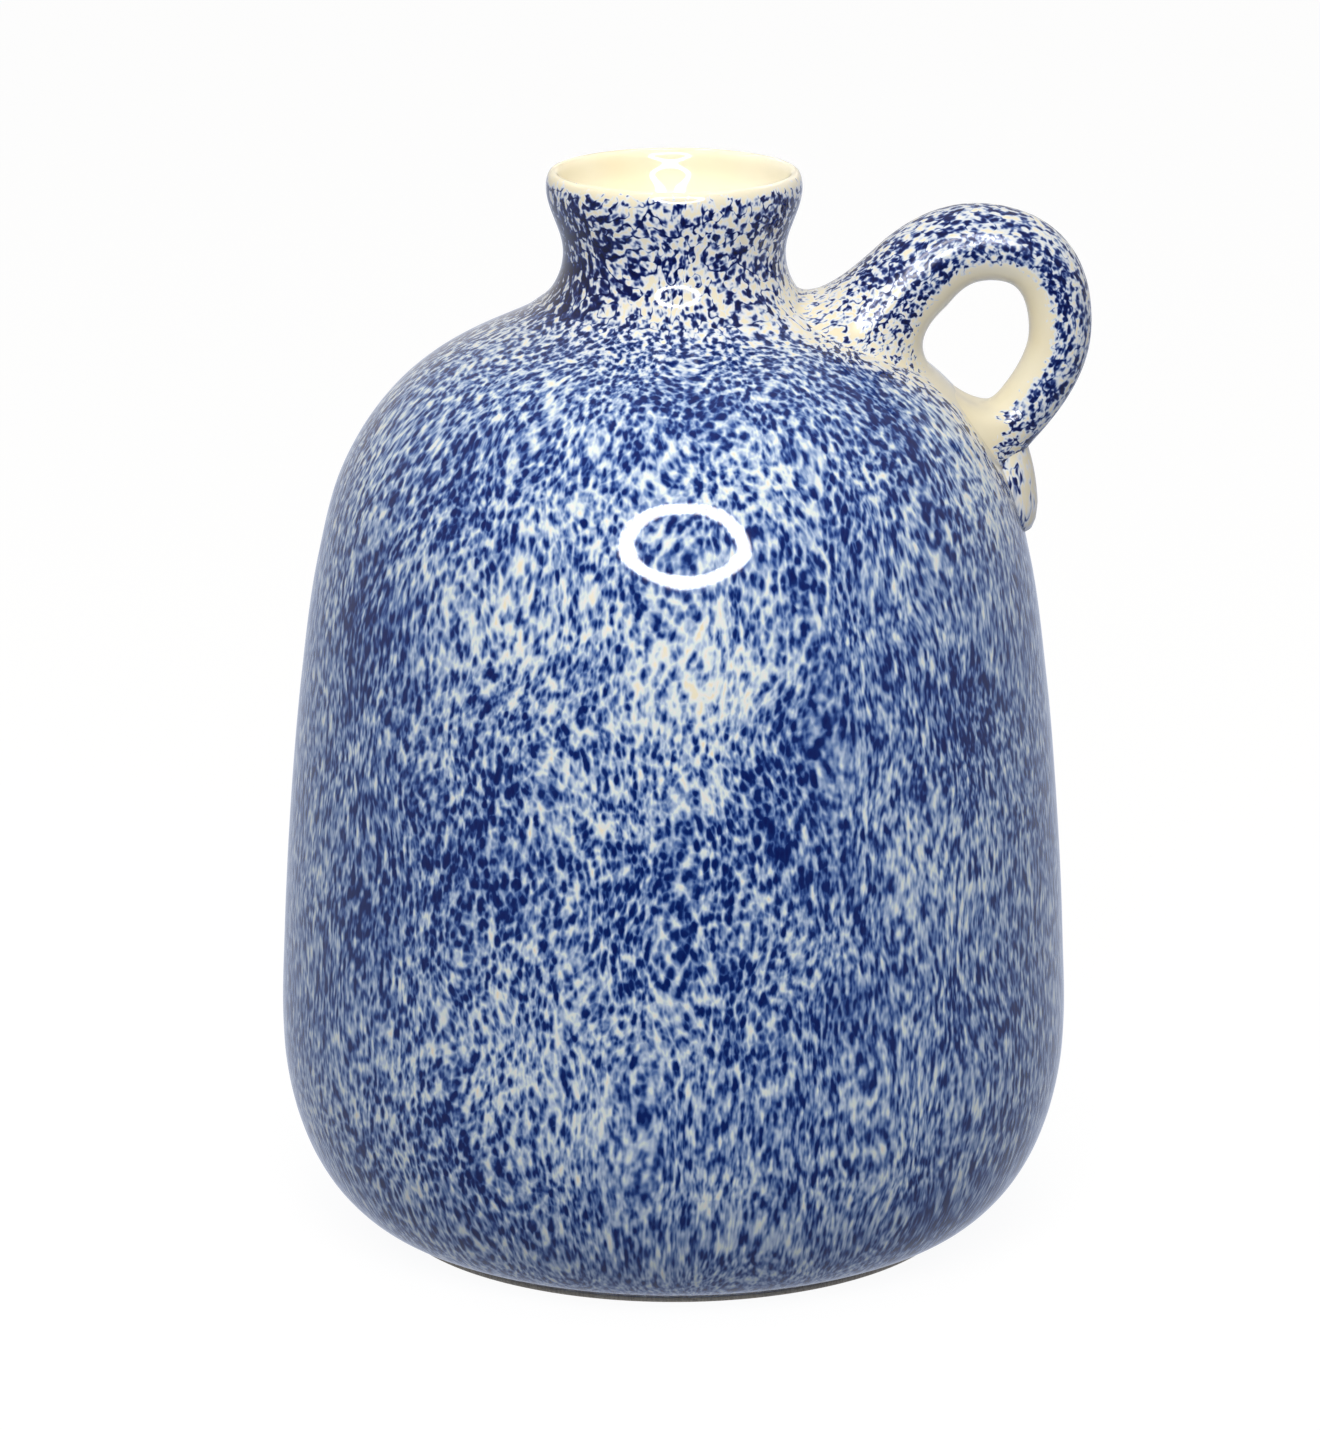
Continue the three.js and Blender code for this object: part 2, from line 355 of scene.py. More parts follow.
def strap_mark_space(sheet):
    """Where the marks of the handle are drawn: as if it were straight, and drawn out along it."""
    centre = sheet.mean(axis=1, keepdims=True)
    off = sheet - centre
    outwards = unit(off[:, :1])
    steps = np.linalg.norm(np.diff(centre[:, 0], axis=0), axis=1)
    along = STRAP_DRAWN_OUT * np.append(0, np.cumsum(steps))[:, None] + 0 * off[..., 0]
    return STRAP_SCALE * np.stack([(off * outwards).sum(axis=2), off[..., 1], along], axis=-1)


def facing(points):
    """Degrees round from the front, to the right, with the back as a mirror of the front."""
    return np.degrees(np.arctan2(points[..., 0], np.abs(points[..., 1])))


def shade_at(points):
    """How much lighter or darker the sponging is, by broad soft patches."""
    turn, z = facing(points), points[..., 2]
    radius = np.hypot(points[..., 0], points[..., 1])
    shade = np.zeros(points.shape[:2])
    for at_turn, at_z, spread, amount in DARK_PATCHES + LIGHT_PATCHES:
        across = np.radians(turn - at_turn) * radius
        shade += amount * np.exp(-(across**2 + (z - at_z) ** 2) / (2 * spread**2))
    return PATCH_STRENGTH * shade


def strokes_at(points):
    """Where the sponge was dragged into long strokes: the sides of the belly and its foot."""
    turn, z = facing(points), points[..., 2]
    left = (1 - ramp(turn, *STROKES_LEFT)) * ramp(z, *STROKES_LEFT_Z)
    low = (1 - ramp(z, *STROKES_LOW_Z)) * ramp(turn, *STROKES_LOW)
    dragged = np.maximum(np.maximum(ramp(turn, *STROKES_RIGHT), left), low)
    return dragged * (1 - ramp(z, *STROKES_TOP_Z))


def stack(points, decoration=0.0, ground=1.0):
    """Rows of points with their paint: how much decoration, and on how cream a ground."""
    return {
        "points": points,
        "normals": sheet_normals(points),
        "decoration": np.zeros(points.shape[:2]) + decoration,
        "ground": np.zeros(points.shape[:2]) + ground,
        "shade": shade_at(points),
        "strokes": strokes_at(points),
        "marks": mark_space(points),
    }


def rows_of(whole, rows):
    return {label: values[rows] for label, values in whole.items()}


def ramp(value, low, high):
    """0 below low, 1 above high, and smooth between them."""
    t = np.clip((value - low) / (high - low), 0, 1)
    return t * t * (3 - 2 * t)


# ---- The strap and the skirts of its roots ----


def strap_rows():
    """Rows (x, z, half thickness) down the strap, from the two chains of its packed corners."""
    joined = joined_corners("handle", lambda p: True)
    ends = sorted(p for p in joined if len(joined[p]) == 1)
    over, under = (chain_from(joined, end, min(joined[end])) for end in ends[:2])
    half = np.linalg.norm(over - under, axis=1) / 2
    return smooth_line(np.column_stack([(over + under) / 2, half]), HANDLE_SPACING)


section_angle = np.linspace(0, 2 * np.pi, HANDLE_COLUMNS, endpoint=False)
strap = strap_rows()
strap_width_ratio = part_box("handle")[1].y / MM / strap[:, 2].max()


def strap_ring(row, heading):
    """The strap's section: angle 0 is its outer side, and half a turn is the side of the hole."""
    x, z, half = strap[row]
    outwards = np.array([-heading[1], 0, heading[0]])
    return (
        np.array([x, 0, z])
        + half * np.cos(section_angle)[:, None] * outwards
        - strap_width_ratio * half * np.sin(section_angle)[:, None] * np.array([0, 1, 0])
    )


strap_heading = unit(np.gradient(strap[:, :2], axis=0))
strap_sheet = np.array([strap_ring(i, strap_heading[i]) for i in range(len(strap))])


def by_side(values):
    """A number for each section angle, from those of the outer side, flanks and hole side."""
    outer, flank, hole = values
    cosine = np.cos(section_angle)
    towards_outer, towards_hole = np.clip(cosine, 0, 1) ** 2, np.clip(-cosine, 0, 1) ** 2
    return flank + (outer - flank) * towards_outer + (hole - flank) * towards_hole


def footprint(root, scale, depth):
    """The root's oval on the wall, shrunk or grown by scale."""
    outer, hole = length_at(root["outer_z"]), length_at(root["hole_z"])
    length = (outer + hole) / 2 + scale * (outer - hole) / 2 * np.cos(section_angle)
    radius = np.interp(length, outside_length, outside[:, 0])
    azimuth = -scale * root["half_width"] * np.sin(section_angle) / radius
    return on_wall(length, azimuth, depth)


def skirt(root, ring, heading):
    """Rows from the strap's end out to the footprint, spreading over the wall like wet clay."""
    foot = footprint(root, 1, SUNK)
    leave = by_side(root["leave"])[:, None] * np.array([heading[0], 0, heading[1]])
    meet = by_side(root["meet"])[:, None] * unit(footprint(root, 1.05, SUNK) - foot)
    t = np.linspace(0, 1, SKIRT_ROWS)[:, None, None]
    return (
        (2 * t**3 - 3 * t**2 + 1) * ring
        + (t**3 - 2 * t**2 + t) * leave
        + (3 * t**2 - 2 * t**3) * foot
        + (t**3 - t**2) * meet
    )


upper_skirt = skirt(UPPER_ROOT, strap_sheet[0], -strap_heading[0])
lower_skirt = skirt(LOWER_ROOT, strap_sheet[-1], strap_heading[-1])
handle_sheet = np.concatenate([upper_skirt[:0:-1], strap_sheet, lower_skirt[1:]])
upper_rows = slice(0, SKIRT_ROWS)
strap_slice = slice(SKIRT_ROWS - 1, SKIRT_ROWS - 1 + len(strap))
lower_rows = slice(SKIRT_ROWS - 2 + len(strap), len(handle_sheet))


def buried(root):
    """The underside of a root, a little way inside the wall and following it."""
    return np.array([footprint(root, scale, CAP_DEPTH) for scale in CAP_SCALES])


def beyond(root, length, across):
    """How far points of the wall lie outside a root's footprint, roughly, in millimetres."""
    outer, hole = length_at(root["outer_z"]), length_at(root["hole_z"])
    half_length = abs(outer - hole) / 2
    reach = np.hypot((length - (outer + hole) / 2) / half_length, across / root["half_width"])
    return (reach - 1) * min(half_length, root["half_width"])


# ---- Where the sponged decoration lies ----

azimuths = np.linspace(0, 2 * np.pi, WALL_COLUMNS, endpoint=False)
wall_sheet = turned(wall_line[:, :1], wall_line[:, 1:], azimuths[None, :])


def wall_decoration():
    """1 where the wall is sponged and 0 where it is plain cream."""
    decoration, ground = np.zeros(wall_sheet.shape[:2]), np.ones(wall_sheet.shape[:2])
    rows = len(outside)
    length = outside_length[:, None] + 0 * azimuths[None, :]
    signed = (azimuths + np.pi) % (2 * np.pi) - np.pi
    across = outside[:, :1] * signed[None, :]
    shown = 1 - ramp(outside[:, 1:], *LIP_FADES) + 0 * across
    near = np.abs(signed)[None, :] < np.pi / 2
    off_upper = np.where(near, beyond(UPPER_ROOT, length, across), 99)
    off_lower = np.where(near, beyond(LOWER_ROOT, length, across), 99)
    shown = shown * (ROOT_EDGE + (1 - ROOT_EDGE) * ramp(off_upper, *UPPER_ROOT_FADES))
    shown = shown * ramp(off_lower, *LOWER_ROOT_FADES)
    on_shoulder = outside[:, 1:] > TAIL_Z[0]
    radius = outside[:, :1]
    web = ramp(radius, *WEB_FROM) * (1 - ramp(radius, *WEB_TO)) * on_shoulder
    shown = shown * (1 - web * (1 - ramp(np.abs(across), *WEB_HALF_WIDTH)) * near)
    decoration[:rows] = shown
    ground[:rows] = np.maximum(
        ramp(outside[:, 1:], *GROUND_FADES),
        1 - ramp(np.minimum(off_upper, off_lower), *ROOTS_GROUND_FADES),
    )
    return decoration, ground


wall = stack(wall_sheet, *wall_decoration())


def handle_decoration():
    """The handle is sponged on its outer side, and plain towards the hole and at the wall."""
    turn = np.degrees(np.minimum(section_angle, 2 * np.pi - section_angle))[None, :]
    row = np.arange(len(handle_sheet))[:, None]
    first, last = strap_slice.start, strap_slice.stop
    wrap = UPPER_WRAP[0] * (1 - ramp(row, first, first + 20))
    wrap = wrap + UPPER_WRAP[1] * (1 - ramp(row, 4, first))
    wrap = wrap + LOWER_WRAP * ramp(row, last - 14, last)
    shown = 1 - ramp(turn - wrap, *STRAP_WRAP)
    shown = shown * (ROOT_EDGE + (1 - ROOT_EDGE) * ramp(row, 2, first - 4))
    end = last + 4 + OUTER_ROWS * (1 - ramp(turn, 55, 95))
    return shown * (1 - ramp(row, end, end + 10))


def handle_ground():
    """The cream ground shows less on the strap than on its roots."""
    row = np.arange(len(handle_sheet))[:, None]
    first, last = strap_slice.start, strap_slice.stop
    on_strap = ramp(row, first - 12, first + 6) * (1 - ramp(row, last - 4, last + 8))
    return 1 - (1 - STRAP_GROUND) * on_strap


handle = stack(handle_sheet, handle_decoration(), handle_ground())
handle["marks"] = strap_mark_space(handle_sheet)

# ---- The pieces ----


def body_piece():
    up = rows_of(wall, np.r_[0:joint_out:BODY_OUTSIDE_STEP, joint_out])
    down = rows_of(wall, np.r_[joint_in, joint_in + 1:len(wall_line) - 1:BODY_INSIDE_STEP, -1])
    return make_piece("pitcher_body", [up, down], closed=True)


def neck_piece():
    return make_piece("pitcher_neck", [rows_of(wall, np.s_[joint_out:joint_in + 1])], closed=True)


def ring_rows(outline):
    outline = np.asarray(outline, float)
    return stack(turned(outline[:, :1], outline[:, 1:], azimuths[None, :]))


def rounded_corner(radius, z, size, start, steps=4):
    """A corner of an outline, rounded from the start angle through a quarter turn."""
    turn = np.radians(start + np.linspace(0, 90, steps))
    return np.column_stack([radius + size * np.cos(turn), z + size * np.sin(turn)])


def floor_piece():
    low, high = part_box("floor")
    radius, bottom, top = high.x / MM, low.z / MM, high.z / MM
    edge = 0.4
    return make_piece("base_floor", [ring_rows(np.vstack([
        np.column_stack([np.linspace(0.5, radius - 3, 12), np.full(12, bottom)]),
        rounded_corner(radius - edge, bottom + edge, edge, -90),
        rounded_corner(radius - edge, top - edge, edge, 0),
        np.column_stack([np.linspace(radius - 3, 0.5, 12), np.full(12, top)]),
    ]))])


def foot_ring_piece():
    low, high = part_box("foot_ring")
    outer, bottom, top = high.x / MM, low.z / MM, high.z / MM
    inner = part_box("floor")[1].x / MM
    edge = 0.35
    corners = ((outer - edge, bottom, -90), (outer - edge, top, 0),
               (inner + edge, top, 90), (inner + edge, bottom, 180))
    outline = [
        rounded_corner(r, bottom + edge if z == bottom else top - edge, edge, start)
        for r, z, start in corners
    ]
    return make_piece("bare_foot_ring", [ring_rows(np.vstack(outline))], closed=True)


def root_piece(name, root, rows, sunk_first):
    under = stack(buried(root))
    shown = rows_of(handle, rows)
    if sunk_first:
        under = rows_of(under, np.s_[::-1])
        return make_piece(name, [under, shown])
    return make_piece(name, [shown, under])


def tail_piece():
    """A pressed-down oval of clay, swept down the wall under the lower root."""
    z = np.linspace(TAIL_Z[0], TAIL_Z[-1], TAIL_ROWS)
    length = np.array([length_at(each) for each in z])
    rise = np.interp(z, TAIL_Z, TAIL_RISE)
    half_width = np.interp(z, TAIL_Z, TAIL_HALF_WIDTH)
    turn = np.linspace(0, 2 * np.pi, TAIL_COLUMNS, endpoint=False)
    lift = np.clip(np.sin(turn), 0, 1) ** TAIL_ROUNDNESS
    rows = []
    for each in range(len(z)):
        across = -half_width[each] * np.cos(turn)
        radius = np.interp(length[each], outside_length, outside[:, 0])
        depth = np.where(np.sin(turn) >= 0, SUNK - (rise[each] + SUNK) * lift, CAP_DEPTH)
        rows.append(on_wall(np.full(len(turn), length[each]), across / radius, depth))
    specks = TAIL_SPECKS + (1 - TAIL_SPECKS) * TAIL_EDGE_SPECKS * np.abs(np.cos(turn)) ** 3
    return make_piece("handle_tail", [stack(np.array(rows)[::-1], specks[None, :])])


# ---- Materials ----


class Graph:
    """A material's nodes, added one at a time."""

    def __init__(self, name):
        self.material = bpy.data.materials.new(name)
        self.material.use_nodes = True
        self.tree = self.material.node_tree
        self.tree.nodes.clear()

    def add(self, kind, inputs, **settings):
        node = self.tree.nodes.new(kind)
        for label, value in settings.items():
            setattr(node, label, value)
        for key, value in inputs.items():
            if isinstance(value, bpy.types.NodeSocket):
                self.tree.links.new(value, node.inputs[key])
            else:
                node.inputs[key].default_value = value
        return node

    def attribute(self, name, output):
        return self.add("ShaderNodeAttribute", {}, attribute_name=name).outputs[output]

    def noise(self, vector, size, detail=1.0, roughness=0.5, output=0):
        """Noise whose cells are about size across, in the units of the vector."""
        inputs = {"Vector": vector, "Scale": 1 / size, "Detail": detail, "Roughness": roughness}
        return self.add("ShaderNodeTexNoise", inputs).outputs[output]

    def math(self, operation, a, b=0.0, c=0.0):
        node = self.add("ShaderNodeMath", {0: a, 1: b, 2: c}, operation=operation)
        return node.outputs[0]

    def vector(self, operation, a, b):
        node = self.add("ShaderNodeVectorMath", {0: a, 1: b}, operation=operation)
        return node.outputs[0]

    def weigh_in(self, tone, value, weight, middle=0.5):
        """The tone, with what the value has over its middle added by its weight."""
        over = self.math("SUBTRACT", value, middle)
        return self.math("MULTIPLY_ADD", over, weight, tone)

    def step(self, value, low, high):
        inputs = {"Value": value, "From Min": low, "From Max": high}
        node = self.add("ShaderNodeMapRange", inputs, interpolation_type="SMOOTHSTEP")
        return node.outputs[0]

    def colours(self, value, stops):
        node = self.add("ShaderNodeValToRGB", {0: value})
        elements = node.color_ramp.elements
        while len(elements) < len(stops):
            elements.new(0.5)
        for element, (place, colour) in zip(elements, stops):
            element.position = place
            element.color = (*colour, 1)
        return node.outputs[0]

    def mix(self, share, a, b):
        inputs = {0: share, 6: a, 7: b}
        return self.add("ShaderNodeMix", inputs, data_type="RGBA").outputs[2]

    def finish(self, colour, normal, roughness, ior):
        inputs = {"Base Color": colour, "Normal": normal, "Roughness": roughness, "IOR": ior}
        shader = self.add("ShaderNodeBsdfPrincipled", inputs)
        self.add("ShaderNodeOutputMaterial", {"Surface": shader.outputs[0]})
        return self.material


def srgb(r, g, b, light=1.0):
    """A linear colour from an 8-bit one, as it looks in a light of that strength."""
    def linear(c):
        c = c / 255
        return c / 12.92 if c <= 0.04045 else ((c + 0.055) / 1.055) ** 2.4
    return tuple(min(linear(c) / light, 0.92) for c in (r, g, b))


GLAZE_ROUGHNESS = 0.055
HANDLE_ROUGHNESS = 0.2
GLAZE_IOR = 1.52
CREAM = (0.95, 0.88, 0.68)
SHADE = 0.80

# Sizes of the sponge's marks, in millimetres, and how much each kind counts in the tone.
DAB_SPACING, DAB_WEIGHT = 1.45, 0.75
BLOT_SIZE, BLOT_WEIGHT = 1.15, 0.8
WASH_SIZE, WISP_WEIGHT, STROKE_WEIGHT = 1.1, 0.5, 1.5
PATCH_SIZE, PATCH_WEIGHT = 17.0, 0.24
GAP_SIZE, GAP_WEIGHT = 2.9, 0.50
CURL_SIZE, CURL_WIDTH, CURL_WEIGHT = 2.7, 0.06, -0.26
SWIRL_SIZE, SWIRL_REACH = 20.0, (8.0, 8.0, 3.0)
JITTER_SIZE, JITTER_REACH = 1.8, (1.1, 1.1, 1.1)
WASH_DRAWN_OUT = (1.0, 1.0, 0.55)
CURL_PLACE = (31.0, 7.0, 13.0)
STROKE_SHARE = 0.75
STROKES_LIGHTER = -0.035
GROUND_LIGHTER = 0.065
GROUND_CREAMIER = 0.21
PLAIN_LIGHTER = 0.8
BARE_TONES = (0.89, 1.07)


def glaze_ripple(graph, marks):
    """The glaze's slightly uneven surface."""
    slow = graph.noise(marks, 9.0, 1.0)
    return graph.add(
        "ShaderNodeBump", {"Strength": 0.25, "Distance": 0.0003, "Height": slow}
    ).outputs[0]


def cream_colour(graph, marks):
    """The cream glaze, a little yellower where it lies thick."""
    cloud = graph.noise(marks, 26.0, 2.0)
    return graph.colours(cloud, [
        (0.30, (0.96, 0.91, 0.76)),
        (0.50, CREAM),
        (0.72, (0.93, 0.83, 0.59)),
    ])


# How the sponged blue looks from its darkest tone to its palest, as seen in the light of SHADE.
BLUES = [
    (0.00, (4, 22, 86)), (0.25, (8, 34, 100)), (0.35, (42, 71, 137)), (0.44, (88, 116, 171)),
    (0.50, (117, 141, 184)), (0.56, (143, 163, 199)), (0.66, (178, 194, 218)),
    (0.78, (212, 222, 234)), (0.92, (229, 237, 241)),
]

# The same over the cream ground of the neck and the handle, where there is hardly any wash.
GROUND_BLUES = [
    (0.00, (4, 10, 52)), (0.30, (8, 20, 78)), (0.40, (30, 46, 108)), (0.47, (86, 104, 154)),
    (0.53, (158, 170, 196)), (0.60, (208, 213, 221)), (0.70, (229, 232, 231)),
]


def sponge_tone(graph, marks, ground):
    """How light the sponging is, from 0 in its dabs up to 1 and more where the cream is bare."""
    strokes = graph.attribute("strokes", "Fac")
    swirl = graph.noise(marks, SWIRL_SIZE, 1.0, output=1)
    swirl = graph.vector("SUBTRACT", swirl, (0.5, 0.5, 0.5))
    swirl = graph.vector("MULTIPLY", swirl, SWIRL_REACH)
    swirled = graph.vector("ADD", marks, swirl)
    jitter = graph.noise(marks, JITTER_SIZE, 1.0, output=1)
    jitter = graph.vector("MULTIPLY", jitter, JITTER_REACH)
    cell_place = graph.vector("ADD", swirled, jitter)
    cells = graph.add("ShaderNodeTexVoronoi", {"Vector": cell_place, "Scale": 1 / DAB_SPACING})
    dabs = graph.weigh_in(0.5, cells.outputs["Distance"], DAB_WEIGHT, middle=0.52)
    dabs = graph.weigh_in(dabs, graph.noise(swirled, BLOT_SIZE), BLOT_WEIGHT)
    drawn_out = graph.vector("MULTIPLY", swirled, WASH_DRAWN_OUT)
    wash = graph.noise(drawn_out, WASH_SIZE)
    wisps = graph.weigh_in(dabs, wash, WISP_WEIGHT)
    dragged = graph.weigh_in(0.5, wash, STROKE_WEIGHT)
    share = graph.math("MULTIPLY", strokes, STROKE_SHARE)
    tone = graph.math("MULTIPLY_ADD", graph.math("SUBTRACT", dragged, wisps), share, wisps)
    tone = graph.weigh_in(tone, graph.noise(marks, PATCH_SIZE, 1.5), PATCH_WEIGHT)
    tone = graph.weigh_in(tone, graph.noise(swirled, GAP_SIZE), GAP_WEIGHT)
    tone = graph.math("ADD", tone, graph.attribute("shade", "Fac"))
    tone = graph.math("MULTIPLY_ADD", strokes, STROKES_LIGHTER, tone)
    curls = graph.noise(graph.vector("ADD", swirled, CURL_PLACE), CURL_SIZE)
    away = graph.math("ABSOLUTE", graph.math("SUBTRACT", curls, 0.5))
    outline = graph.math("MULTIPLY", graph.step(away, CURL_WIDTH, 0.0), ground)
    tone = graph.math("MULTIPLY_ADD", outline, CURL_WEIGHT, tone)
    return graph.math("MULTIPLY_ADD", ground, GROUND_LIGHTER, tone)


def sponged(name, roughness):
    """Blue sponged over cream: dark dabs in a streaky wash, cream gaps, and lighter patches.

    Where the sponge was dragged, long strokes take the place of the dabs. Where the ground is
    cream, the dabs thin out into curled outlines with no wash between them.
    """
    graph = Graph(name)
    marks = graph.attribute("marks", "Vector")
    ground = graph.attribute("ground", "Fac")
    decoration = graph.attribute("decoration", "Fac")
    plain = graph.math("SUBTRACT", 1.0, decoration)
    tone = sponge_tone(graph, marks, ground)
    tone = graph.math("MULTIPLY_ADD", plain, PLAIN_LIGHTER, tone)
    blue, ground_blue = (
        graph.colours(tone, [(place, srgb(*seen, light=SHADE)) for place, seen in tones])
        for tones in (BLUES, GROUND_BLUES)
    )
    blue = graph.mix(ground, blue, ground_blue)
    cream = cream_colour(graph, marks)
    creamy = graph.math("MULTIPLY_ADD", ground, GROUND_CREAMIER, tone)
    colour = graph.mix(graph.step(creamy, *BARE_TONES), blue, cream)
    colour = graph.mix(graph.step(decoration, 0.0, 0.12), cream, colour)
    return graph.finish(colour, glaze_ripple(graph, marks), roughness, GLAZE_IOR)


def cream_glaze(name):
    graph = Graph(name)
    marks = graph.attribute("marks", "Vector")
    specks = graph.step(graph.noise(marks, 1.6, 1.0), 0.70, 0.76)
    colour = graph.mix(specks, cream_colour(graph, marks), (0.10, 0.13, 0.24, 1))
    return graph.finish(colour, glaze_ripple(graph, marks), GLAZE_ROUGHNESS, GLAZE_IOR)


def bare_clay():
    graph = Graph("bare_clay_fine")
    marks = graph.attribute("marks", "Vector")
    grain = graph.noise(marks, 0.5, 3.0, 0.65)
    colour = graph.colours(grain, [
        (0.3, (0.58, 0.51, 0.41)), (0.5, (0.76, 0.69, 0.57)), (0.7, (0.86, 0.80, 0.69)),
    ])
    bump = graph.add("ShaderNodeBump", {"Strength": 0.5, "Distance": 0.0002, "Height": grain})
    return graph.finish(colour, bump.outputs[0], 0.85, 1.45)


# ---- Putting the pitcher together ----

belly_glaze = sponged("belly_glaze_fine", GLAZE_ROUGHNESS)
neck_glaze = sponged("neck_glaze_fine", GLAZE_ROUGHNESS)
handle_glaze = sponged("handle_glaze_fine", HANDLE_ROUGHNESS)
plain_glaze = cream_glaze("plain_glaze_fine")
tail_glaze = sponged("tail_glaze_fine", HANDLE_ROUGHNESS)

made = [
    (body_piece(), "body", "sponged_body_glaze", belly_glaze),
    (neck_piece(), "neck", "sponged_neck_glaze", neck_glaze),
    (floor_piece(), "floor", "cream_glaze", plain_glaze),
    (foot_ring_piece(), "foot_ring", "bare_clay", bare_clay()),
    (root_piece("handle_upper_root", UPPER_ROOT, upper_rows, True), "upper_root",
     "sponged_handle_glaze", handle_glaze),
    (make_piece("handle_strap", [rows_of(handle, strap_slice)]), "handle",
     "sponged_handle_glaze", handle_glaze),
    (root_piece("handle_lower_root", LOWER_ROOT, lower_rows, False), "lower_root",
     "sponged_handle_glaze", handle_glaze),
    (tail_piece(), "tail", "cream_tail_glaze", tail_glaze),
]
for piece, node, slot, glaze in made:
    piece.data.materials.append(glaze)
    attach(piece, "root")
    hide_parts(node)

# ---- Studio ----

WORLD_LEVEL = 0.38
WORLD_SLOPE = 0.34
BELOW_COLOUR = (0.84, 0.91, 1.10)
ROOM_COLOUR = (1.02, 0.99, 0.95)
LAMP_COLOUR = (1.0, 0.985, 0.94)
CAMERA_PLACE = (0, -1.2940, 0.4697)
CAMERA_AIM = (-0.00297, 0, 0.11105)
CAMERA_LENS = 157.01
LAMP_PLACE = (0.035, -0.541, 0.477)
LAMP_OUTER = 0.230
LAMP_BAND = 0.058
LAMP_SQUASH = 0.82
KEY_PLACE = (-0.02, -0.541, 0.477)
KEY_ENERGY = 3.0
LAMP_AIM = (0, 0, 0.14)
RING_GLOW = 25.0
RING_SIDES = 64
OVERHEAD_SIZE = 0.8
OVERHEAD_HEIGHT = 1.1
OVERHEAD_ENERGY = 2.2
MOUTH_LAMP_SIZE = 0.03
MOUTH_LAMP_HEIGHT = 0.42
MOUTH_LAMP_SPREAD = 12
MOUTH_LAMP_ENERGY = 0.009
FLOOR_SIDE = 6.0
FLOOR_DROP = 0.0002
FLOOR_GLOW = 0.94
FLOOR_WHITE = 0.10


def studio_world():
    """A pale room, lighter behind the pitcher than in front of it and bluer below it.

    The blue from below is the pitcher's own, thrown back by the pale surface it stands on.
    """
    world = bpy.data.worlds.new("studio_room")
    world.use_nodes = True
    bpy.context.scene.world = world
    nodes, links = world.node_tree.nodes, world.node_tree.links
    nodes.clear()
    place = nodes.new("ShaderNodeTexCoord")
    split = nodes.new("ShaderNodeSeparateXYZ")
    links.new(place.outputs["Generated"], split.inputs[0])
    level = nodes.new("ShaderNodeMath")
    level.operation = "MULTIPLY_ADD"
    level.inputs[1].default_value = WORLD_SLOPE
    level.inputs[2].default_value = WORLD_LEVEL
    links.new(split.outputs["Y"], level.inputs[0])
    height = nodes.new("ShaderNodeMapRange")
    height.inputs["From Min"].default_value = -1
    links.new(split.outputs["Z"], height.inputs["Value"])
    tint = nodes.new("ShaderNodeValToRGB")
    for element, place, colour in zip(tint.color_ramp.elements, (0.40, 0.52),
                                      (BELOW_COLOUR, ROOM_COLOUR)):
        element.position, element.color = place, (*colour, 1)
    links.new(height.outputs[0], tint.inputs[0])
    room = nodes.new("ShaderNodeBackground")
    links.new(tint.outputs[0], room.inputs["Color"])
    links.new(level.outputs[0], room.inputs["Strength"])
    white = nodes.new("ShaderNodeBackground")
    white.inputs["Color"].default_value = (1, 1, 1, 1)
    rays = nodes.new("ShaderNodeLightPath")
    either = nodes.new("ShaderNodeMixShader")
    links.new(rays.outputs["Is Camera Ray"], either.inputs[0])
    links.new(room.outputs[0], either.inputs[1])
    links.new(white.outputs[0], either.inputs[2])
    out = nodes.new("ShaderNodeOutputWorld")
    links.new(either.outputs[0], out.inputs[0])


def glowing(name, strength, diffuse=0.0):
    material = bpy.data.materials.new(name)
    material.use_nodes = True
    nodes, links = material.node_tree.nodes, material.node_tree.links
    nodes.clear()
    glow = nodes.new("ShaderNodeEmission")
    glow.inputs["Strength"].default_value = strength
    matt = nodes.new("ShaderNodeBsdfDiffuse")
    matt.inputs["Color"].default_value = (diffuse, diffuse, diffuse, 1)
    both = nodes.new("ShaderNodeAddShader")
    links.new(glow.outputs[0], both.inputs[0])
    links.new(matt.outputs[0], both.inputs[1])
    out = nodes.new("ShaderNodeOutputMaterial")
    links.new((both if diffuse else glow).outputs[0], out.inputs[0])
    return material


def pale_floor():
    """A plain pale floor, seen by the camera and left out of the glaze's reflections."""
    mesh = bpy.data.meshes.new("studio_floor")
    side = FLOOR_SIDE
    mesh.from_pydata([(-side, -side, 0), (side, -side, 0), (side, side, 0), (-side, side, 0)],
                     [], [(0, 1, 2, 3)])
    mesh.materials.append(glowing("pale_floor", FLOOR_GLOW, FLOOR_WHITE))
    floor = bpy.data.objects.new("studio_floor", mesh)
    floor.location.z = -FLOOR_DROP
    floor.visible_glossy = False
    floor.visible_diffuse = False
    bpy.context.scene.collection.objects.link(floor)


def aimed(place):
    """The turn that points an object at the pitcher's upper belly."""
    return (Vector(LAMP_AIM) - Vector(place)).to_track_quat("-Z", "Y").to_euler()


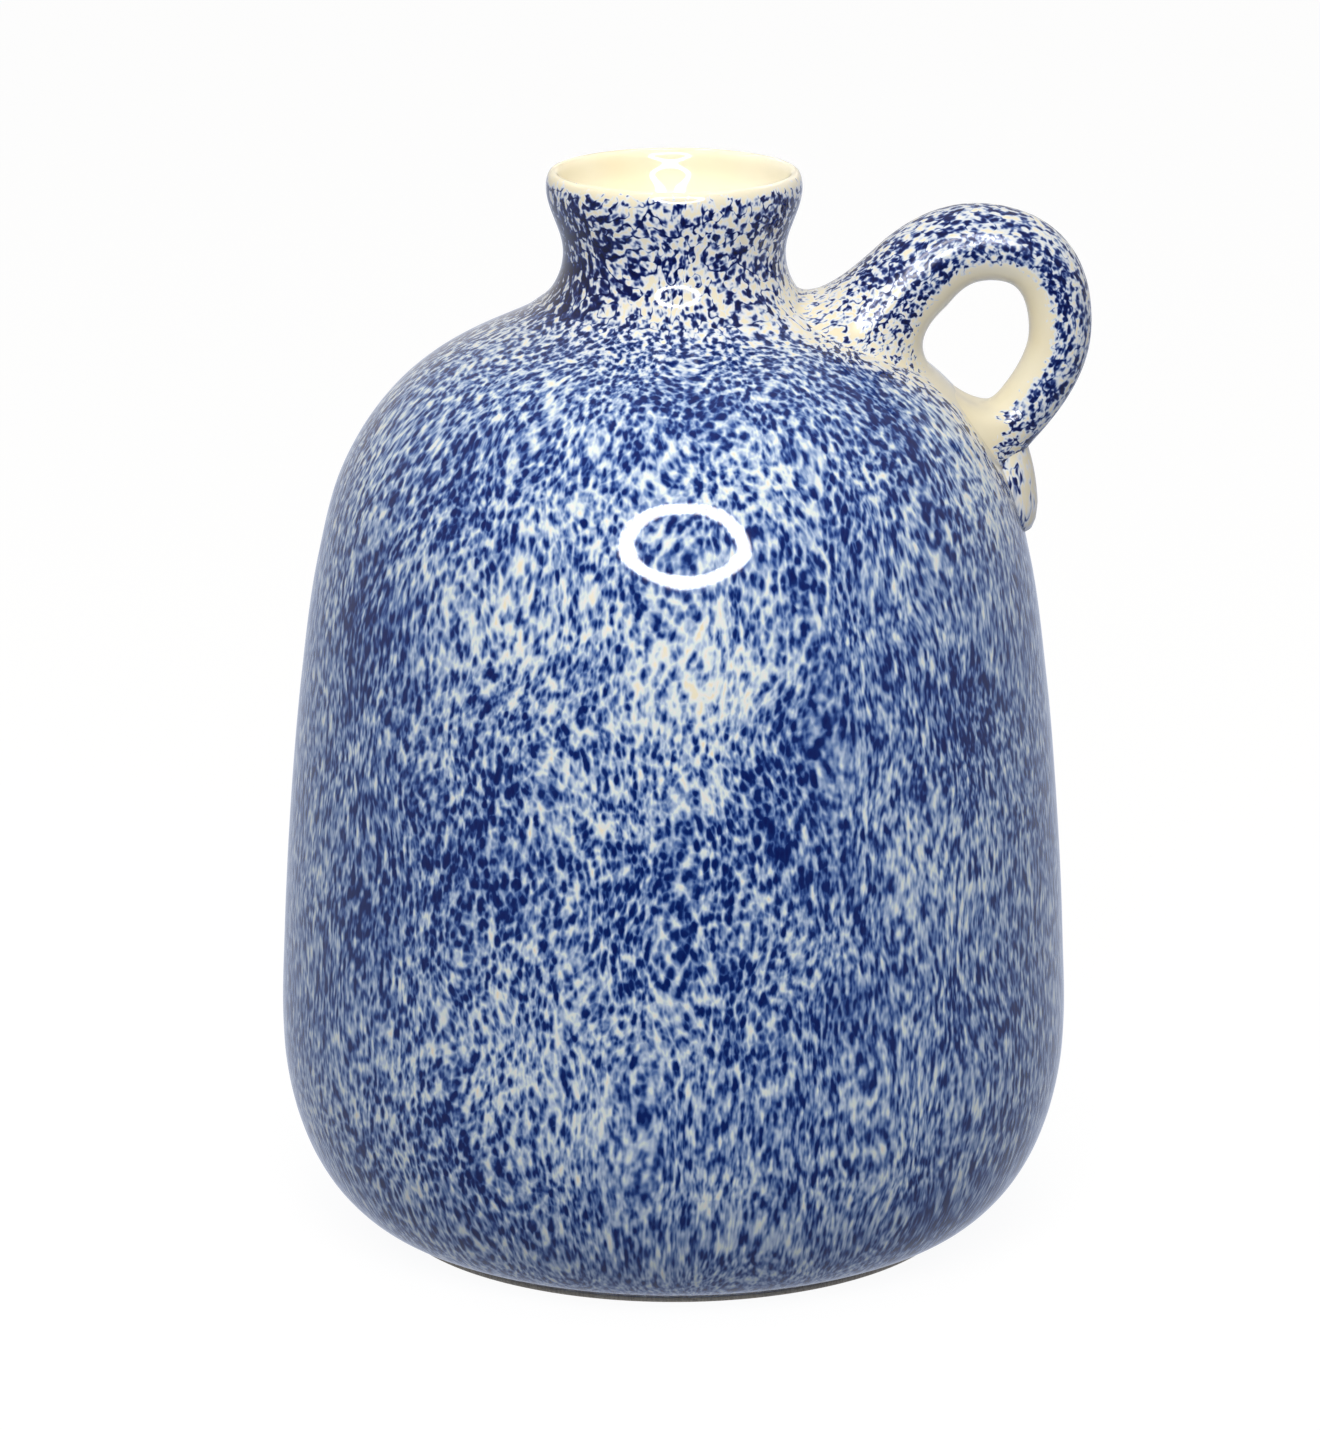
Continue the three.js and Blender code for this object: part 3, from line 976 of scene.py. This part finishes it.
def ring_lamp():
    """The ring lamp that the glaze mirrors. It gives no light of its own."""
    turn = np.linspace(0, 2 * np.pi, RING_SIDES, endpoint=False)
    rings = []
    for radius in (LAMP_OUTER - LAMP_BAND, LAMP_OUTER):
        wavy = radius * (1 + 0.012 * np.sin(5 * turn + radius * 40))
        rings += [(r * math.cos(a), r * math.sin(a) * LAMP_SQUASH, 0) for r, a in zip(wavy, turn)]
    faces = [
        (i, (i + 1) % RING_SIDES, RING_SIDES + (i + 1) % RING_SIDES, RING_SIDES + i)
        for i in range(RING_SIDES)
    ]
    mesh = bpy.data.meshes.new("ring_lamp")
    mesh.from_pydata(rings, [], faces)
    mesh.materials.append(glowing("ring_lamp_glow", RING_GLOW))
    ring = bpy.data.objects.new("ring_lamp", mesh)
    ring.location, ring.rotation_euler = LAMP_PLACE, aimed(LAMP_PLACE)
    ring.visible_camera = False
    ring.visible_diffuse = False
    ring.visible_shadow = False
    bpy.context.scene.collection.objects.link(ring)


def soft_lamp(name, place, size, energy):
    """A round soft lamp that shines straight down until turned. The glaze doesn't mirror it."""
    light = bpy.data.lights.new(name, "AREA")
    light.shape = "DISK"
    light.size = size
    light.energy = energy
    light.color = LAMP_COLOUR
    lamp = bpy.data.objects.new(name, light)
    lamp.location = place
    lamp.visible_glossy = False
    lamp.visible_camera = False
    bpy.context.scene.collection.objects.link(lamp)
    return lamp


def soft_lamps():
    """The light of the ring lamp, that of the ceiling, and a narrow beam down into the mouth."""
    key = soft_lamp("key_lamp", KEY_PLACE, 2 * LAMP_OUTER, KEY_ENERGY)
    key.rotation_euler = aimed(KEY_PLACE)
    soft_lamp("overhead_lamp", (0, 0, OVERHEAD_HEIGHT), OVERHEAD_SIZE, OVERHEAD_ENERGY)
    beam = soft_lamp("mouth_lamp", (0, 0, MOUTH_LAMP_HEIGHT), MOUTH_LAMP_SIZE, MOUTH_LAMP_ENERGY)
    beam.data.spread = math.radians(MOUTH_LAMP_SPREAD)


def camera():
    data = bpy.data.cameras.new("camera")
    data.lens = CAMERA_LENS
    data.sensor_width = 36
    eye = bpy.data.objects.new("camera", data)
    eye.location = CAMERA_PLACE
    aim = Vector(CAMERA_AIM) - Vector(CAMERA_PLACE)
    eye.rotation_euler = aim.to_track_quat("-Z", "Y").to_euler()
    bpy.context.scene.collection.objects.link(eye)
    bpy.context.scene.camera = eye


studio_world()
pale_floor()
ring_lamp()
soft_lamps()
camera()
bpy.context.scene.view_settings.view_transform = "Standard"

bpy.context.view_layer.update()
